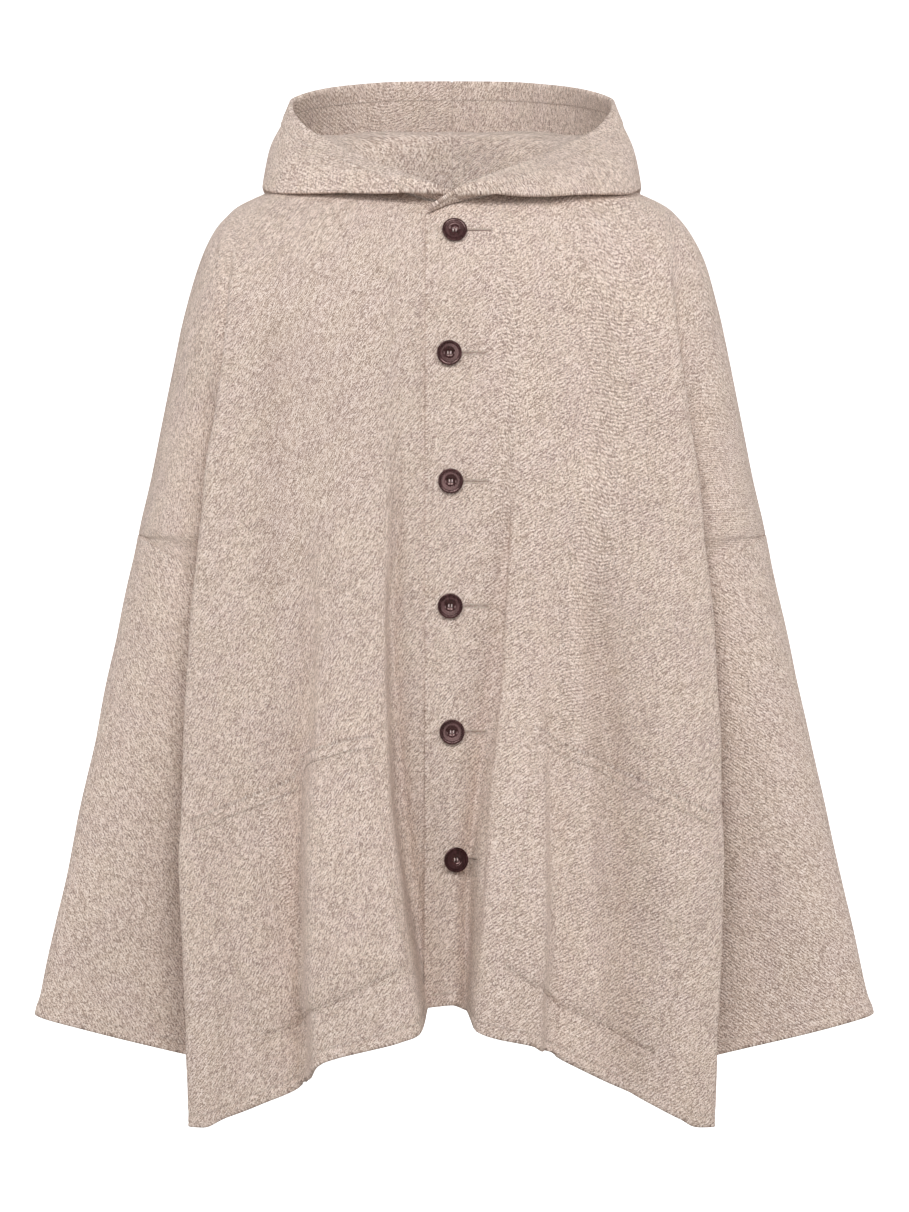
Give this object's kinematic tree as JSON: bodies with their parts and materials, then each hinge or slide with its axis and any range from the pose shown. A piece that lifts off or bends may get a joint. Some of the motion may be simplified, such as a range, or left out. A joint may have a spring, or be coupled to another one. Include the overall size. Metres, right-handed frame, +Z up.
{
  "type": "hooded coat",
  "caption": "Wide hooded wool coat with dropped shoulders, straight sleeves, patch pockets and a buttoned front, hollow and in its worn shape.",
  "frame": {"origin": "middle of the neck opening, level with the neck ends of the shoulder seams", "axes": "+Z up, the front looks towards -Y, the wearer's left is towards +X"},
  "size_m": [0.7302, 0.3403, 0.9291],
  "materials": {
    "wool": "matt heathered wool twill",
    "button": "polished dark brown"
  },
  "bodies": {
    "root": {"front_left": "wool", "front_right": "wool", "back": "wool", "sleeve_left": "wool", "sleeve_right": "wool", "hood_left": "wool", "hood_right": "wool", "pocket_left": "wool", "pocket_right": "wool", "button_1": "button", "button_2": "button", "button_3": "button", "button_4": "button", "button_5": "button", "button_6": "button"}
  },
  "joints": []
}
